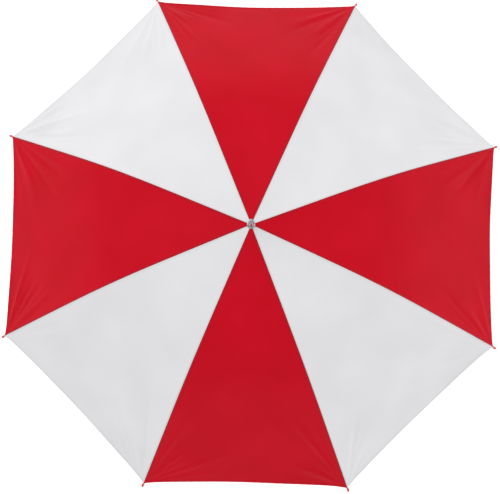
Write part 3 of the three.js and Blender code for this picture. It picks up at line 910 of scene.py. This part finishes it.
def opened(part):
    """A turned piece whose cut reaches its bore: there the cut's floor and the bore's wall are the
    same face twice, so both are taken out, and the edges that are left are joined."""
    grid = np.round(part["points"] / 1e-7).astype(np.int64)
    _, first, same = np.unique(grid, axis=0, return_index=True, return_inverse=True)
    faces = first[same.ravel()][part["faces"]]
    _, back, times = np.unique(
        np.sort(faces, axis=1), axis=0, return_inverse=True, return_counts=True
    )
    once = times[back.ravel()] == 1
    used, numbers = np.unique(faces[once], return_inverse=True)
    return dict(
        part, points=part["points"][used], faces=numbers.reshape(-1, 4), uv=part["uv"][once]
    )


def slotted_angles():
    """Angles round a hub, close together at the sides of its eight slots."""
    near = np.radians([-7.4, -7.2, -3.6, 0, 3.6, 7.2, 7.4, 10, 13.5, 18, 22.5, 27, 31.5, 35])
    return (rib_azimuth(np.array(RIBS))[:, None] + near).ravel()


def from_catch(angles):
    """Angles about the shaft from the side its catches are on, between half a turn each way."""
    return (angles - CATCH_SIDE + math.pi) % math.tau - math.pi


def hinge_slots(low, high):
    """Cuts eight slots for the hinges between two heights, and the groove for their wire ring."""

    def cut(radius, level, angles):
        offset = angles % SECTOR - SECTOR / 2
        slot = (np.abs(offset) < SLOT_HALF_TURN) & (level > low) & (level < high)
        groove = np.abs(level) < GROOVE_HALF_WIDTH
        floor = np.where(slot, SLOT_FLOOR, np.where(groove, HINGE_RADIUS - GROOVE_DEPTH, radius))
        return np.where(radius > BORE_WALL, np.minimum(radius, floor), radius)

    return cut


def ferrule():
    """The ferrule: a tapered point with a rounded end, on a flange that holds the cloth down."""
    profile = [
        [0.3, -14], [6.0, -14], [6.1, -13.8], [6.1, 5.15], [9.1, 5.15], [9.5, 5.5], [9.5, 6.35],
        [9.3, 6.65], [8.7, 6.95], [7.9, 7.1], [7.3, 7.35], [6.95, 7.9], [6.75, 8.8], [6.6, 10.2],
        [6.45, 20], [6.25, 35], [6.05, 50], [5.95, 62], [5.85, 65.2], [5.6, 66.6], [5.1, 67.5],
        [4.3, 67.92], [3.2, 68.0], [0.3, 68.0],
    ]
    make(
        "turned_ferrule", lathe(profile, NOTCH_HEIGHT), [NICKEL], "shaft",
        ["ferrule"], 40,
    )


def notch():
    """The notch: a hub with a slot for each rib's eye and a groove for the wire through them."""
    profile = [
        [7.4, -7], [12.0, -7], [12.7, -6.7], [13.0, -6.1], [13.0, -4], [13.0, -1.2], [13.0, -0.98],
        [13.0, -0.94], [13.0, 0.94], [13.0, 0.98], [13.0, 2.35], [13.0, 2.45], [13.0, 3.2],
        [12.8, 3.7], [12.2, 4], [7.4, 4],
    ]
    slots = hinge_slots(-0.1, 0.0024)
    make(
        "slotted_notch", lathe(profile, NOTCH_HEIGHT, True, slots, slotted_angles()), [ACETAL],
        "shaft", ["notch"],
    )


def runner():
    """The runner: a slotted hub like the notch, on a sleeve with a window for the catch and a
    collar for the fingers."""
    profile = [
        [7.4, -55], [10.9, -55], [11.3, -54.8], [11.5, -54.3], [11.5, -50.6], [11.3, -50.0],
        [10.4, -48.9], [9.8, -48.2], [9.6, -47.4], [9.6, -44.1], [9.6, -43.9], [9.6, -32],
        [9.6, -20.1], [9.6, -19.9], [9.6, -11], [9.8, -10], [12.5, -6.8], [13.0, -6.0],
        [13.0, -2.45], [13.0, -2.35], [13.0, -0.98], [13.0, -0.94], [13.0, 0.94], [13.0, 0.98],
        [13.0, 6.2], [12.8, 6.7], [12.2, 7], [7.4, 7], [7.4, -19.9], [7.4, -20.1], [7.4, -32],
        [7.4, -43.9], [7.4, -44.1],
    ]
    slots = hinge_slots(-0.0024, 0.1)
    window_low, window_high, window_half_turn = -0.044, -0.020, 0.235

    def cut(radius, level, around):
        """The hinges' slots, and the catch's window right through to the bore."""
        window = (level > window_low) & (level < window_high)
        window = window & (np.abs(from_catch(around)) < window_half_turn)
        return np.where(window & (radius > 0.009), HUB_BORE, slots(radius, level, around))

    window_edges = CATCH_SIDE + np.array([-0.24, -0.23, 0.23, 0.24])
    around = np.sort(np.concatenate([slotted_angles() % math.tau, window_edges % math.tau]))
    sleeve = lathe(profile, RUNNER_HEIGHT, True, cut, around)
    make(
        "slotted_runner", [opened(part) for part in sleeve], [ACETAL], "runner",
        ["runner"],
    )


def shaft():
    """The shaft: a drawn tube with a slot sunk in its wall for each catch."""
    top = (NOTCH_HEIGHT + 0.0037) * 1000
    catches = [
        (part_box(name)[0][2] - 0.001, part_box(name)[1][2] + 0.001)
        for name in ("open_catch", "closed_catch")
    ]
    profile = [[7.0, 8.4]]
    for low, high in sorted(catches):
        profile += [[7.0, low * 1000 - 0.05], [7.0, low * 1000 + 0.05]]
        profile += [[7.0, high * 1000 - 0.05], [7.0, high * 1000 + 0.05]]
    profile += [[7.0, top - 0.3], [6.8, top], [6.4, top], [6.4, 8.4]]
    slot_floor, slot_half_turn = 0.00655, 0.29

    def cut(radius, level, around):
        within = sum((level > low) & (level < high) for low, high in catches) > 0
        sunk = within & (np.abs(from_catch(around)) < slot_half_turn) & (radius > 0.0068)
        return np.where(sunk, slot_floor, radius)

    edges = CATCH_SIDE + np.array([-0.295, -0.285, -0.1, 0.1, 0.285, 0.295])
    around = np.sort(np.concatenate([np.linspace(0, math.tau, 72)[:-1], edges % math.tau]))
    make(
        "steel_shaft", lathe(profile, 0.0, True, cut, around), [LACQUER], "shaft",
        ["shaft_tube"],
    )


def handle():
    """The handle: a foam sleeve that swells by a power of a sine towards its middle, and the
    moulded cap with its groove that closes the end."""
    heights = np.linspace(12, 164, 39)
    share = (heights - heights[0]) / (heights[-1] - heights[0])
    swell = stacked(13.5 + 1.45 * np.sin(math.pi * share) ** 0.8, heights)
    foam = [[7.3, 8.4], [12.7, 8.4], [13.2, 8.7], [13.45, 9.6]] + swell.tolist()
    foam += [[13.3, 166.2], [12.9, 168], [12.2, 169.3], [11.4, 169.9], [10.6, 170], [7.3, 170]]
    make("foam_grip", lathe(foam, hole=True), [FOAM], "shaft", ["grip"])
    cap = [
        [0.3, 0], [11.6, 0], [12.6, 0.3], [13.3, 1.1], [13.7, 2.4], [13.8, 3.4], [13.8, 4.4],
        [13.45, 4.7], [13.45, 5.3], [13.8, 5.6], [13.8, 7.7], [13.5, 8.0], [6.1, 8.0], [6.1, 25.8],
        [5.9, 26], [0.3, 26],
    ]
    make("moulded_cap", lathe(cap), [ACETAL], "shaft", ["grip_cap"])


# ---- Tie strap ----

STRAP_RIB = 2
STRAP_FROM, STRAP_TO = 0.560, 0.715  # along the rib
STRAP_LINE, STRAP_HALF = 0.14, 0.06  # shares across the panel: the strap's middle, and its half
STRAP_GAP = 0.0010  # from the cloth's middle to the strap's near face


def tie_strap():
    """The tie strap: a band of doubled cloth folded against the inside of the canopy beside one
    rib, with a stitched edge and half of a press stud at its free end."""
    lengths = np.linspace(STRAP_FROM, STRAP_TO, 48)
    across = np.linspace(0.08, 0.20, 13)
    taper = 1 - 0.5 * smoothstep(lengths, STRAP_TO - 0.015, STRAP_TO) ** 2
    shares = STRAP_LINE + (across[None, :] - STRAP_LINE) * taper[:, None]
    surface = canopy(STRAP_RIB, 1, lengths[:, None], shares)
    normal = canopy_normal(STRAP_RIB, 1, lengths[:, None], shares)
    edge = np.abs(across - STRAP_LINE) / STRAP_HALF
    thick = 0.00075 - 0.0003 * smoothstep(edge, 0.70, 0.80) + 0.0002 * smoothstep(edge, 0.9, 1)
    face = surface - STRAP_GAP * normal
    back = surface - (STRAP_GAP + 2 * thick)[..., None] * normal
    loop = np.concatenate([face, back[:, ::-1]], axis=1)
    patches = swept(loop[:, ::-1])
    middle = len(across) // 2
    centre, outward = back[42, middle], -normal[42, middle]
    stud = [[0.2, 1.6], [1.2, 1.6], [2.0, 1.2], [2.4, 0.7], [4.2, 0.6], [5.0, 0.3], [5.2, -0.4]]
    stud = np.array(stud) / 1000
    first = unit(np.cross(outward, [0, 0, 1.0]))
    second = np.cross(outward, first)
    angle = ring(32)[:, None]
    circle = np.cos(angle) * first + np.sin(angle) * second
    rings = centre + stud[:, :1, None] * circle + stud[:, 1:, None] * outward
    patches += [dict(part, material=1) for part in swept(rings)]
    strap = make(
        "stitched_tie_strap", patches, [RED_CLOTH, NICKEL], f"rib_end_{STRAP_RIB}",
        ["tie_strap"],
    )
    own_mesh(strap)


# ---- Assembly ----

ferrule()
notch()
runner()
shaft()
handle()
tie_strap()
for number in RIBS:
    sprung_rib(number)
    rib_tip(number)
    bands = felled_seam(number)
    half_panel(number, 1)
    half_panel(number, -1)

BARE_STEEL = ("notch_wire", "runner_wire", "stop_pin", "open_catch", "closed_catch")
CAD_FINISHES = {"stretcher": LACQUER} | dict.fromkeys(BARE_STEEL, SPRING_STEEL)
for node_name, cad_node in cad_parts.items():
    for start, chosen in CAD_FINISHES.items():
        if node_name.startswith(start):
            for holder in cad_node.material_slots:
                holder.material = chosen

# ---- Camera, floor and light ----


def stand(name, data, right, back, place):
    """Puts a camera or a lamp in the scene, with its back and its right side turned as given."""
    item = bpy.data.objects.new(name, data)
    scene.collection.objects.link(item)
    pose = np.eye(4)
    pose[:3] = stacked(right, np.cross(back, right), back, place)
    item.matrix_world = pose.T.tolist()
    return item


optics = bpy.data.cameras.new("camera")
optics.lens, optics.sensor_width = 121.1, 36
ELEVATION, AZIMUTH, DISTANCE = math.radians(83.76), math.radians(1.31), 4.0
AIM = np.array([-0.0019, -0.0333, 0.770])
back = turned([0, -math.cos(ELEVATION), math.sin(ELEVATION)], AZIMUTH)
right = turned([1, 0, 0], AZIMUTH)
scene.camera = stand("camera", optics, right, back, AIM + DISTANCE * back)

floor_finish, floor_tree, floor_shader = finish(
    "white studio floor", Base_Color=linear("F4F4F4"), Roughness=0.9,
    Emission_Color=(1, 1, 1, 1), Emission_Strength=0.55,
)
# Its underside lets everything through, so that it doesn't hide the frame from below.
facing = node(floor_tree, "ShaderNodeNewGeometry")
shown = node(
    floor_tree, "ShaderNodeMath", {0: 1.0}, {1: facing.outputs["Backfacing"]},
    operation="SUBTRACT",
)
floor_tree.links.new(shown.outputs["Value"], floor_shader.inputs["Alpha"])
FLOOR_HALF, FLOOR_LEVEL = 80, -0.0003
corners = np.array(
    [[x * FLOOR_HALF, y * FLOOR_HALF, FLOOR_LEVEL] for x, y in ((-1, -1), (1, -1), (1, 1), (-1, 1))]
)
upwards = np.tile([0, 0, 1.0], (1, 4, 1))
floor = make("studio_floor", [patch(corners, [[0, 1, 2, 3]], upwards)], [floor_finish])

world = bpy.data.worlds.new("studio")
scene.world = world
world.use_nodes = True
sky = world.node_tree.nodes["Background"].inputs
sky["Color"].default_value, sky["Strength"].default_value = linear("FAFAFA"), 0.78
LIT_POINT = np.array([0, 0, 0.8])
for name, place, size, power in (
    ("key", (-1.3, 1.3, 3.4), 2.4, 30),
    ("fill", (2.5, -0.2, 2.1), 2.0, 10),
):
    lamp = bpy.data.lights.new(name, "AREA")
    lamp.size, lamp.energy = size, power
    towards = unit(LIT_POINT - np.array(place))
    stand(name, lamp, unit(np.cross(towards, [0, 0, 1.0])), -towards, place)

scene.view_settings.view_transform = "Standard"
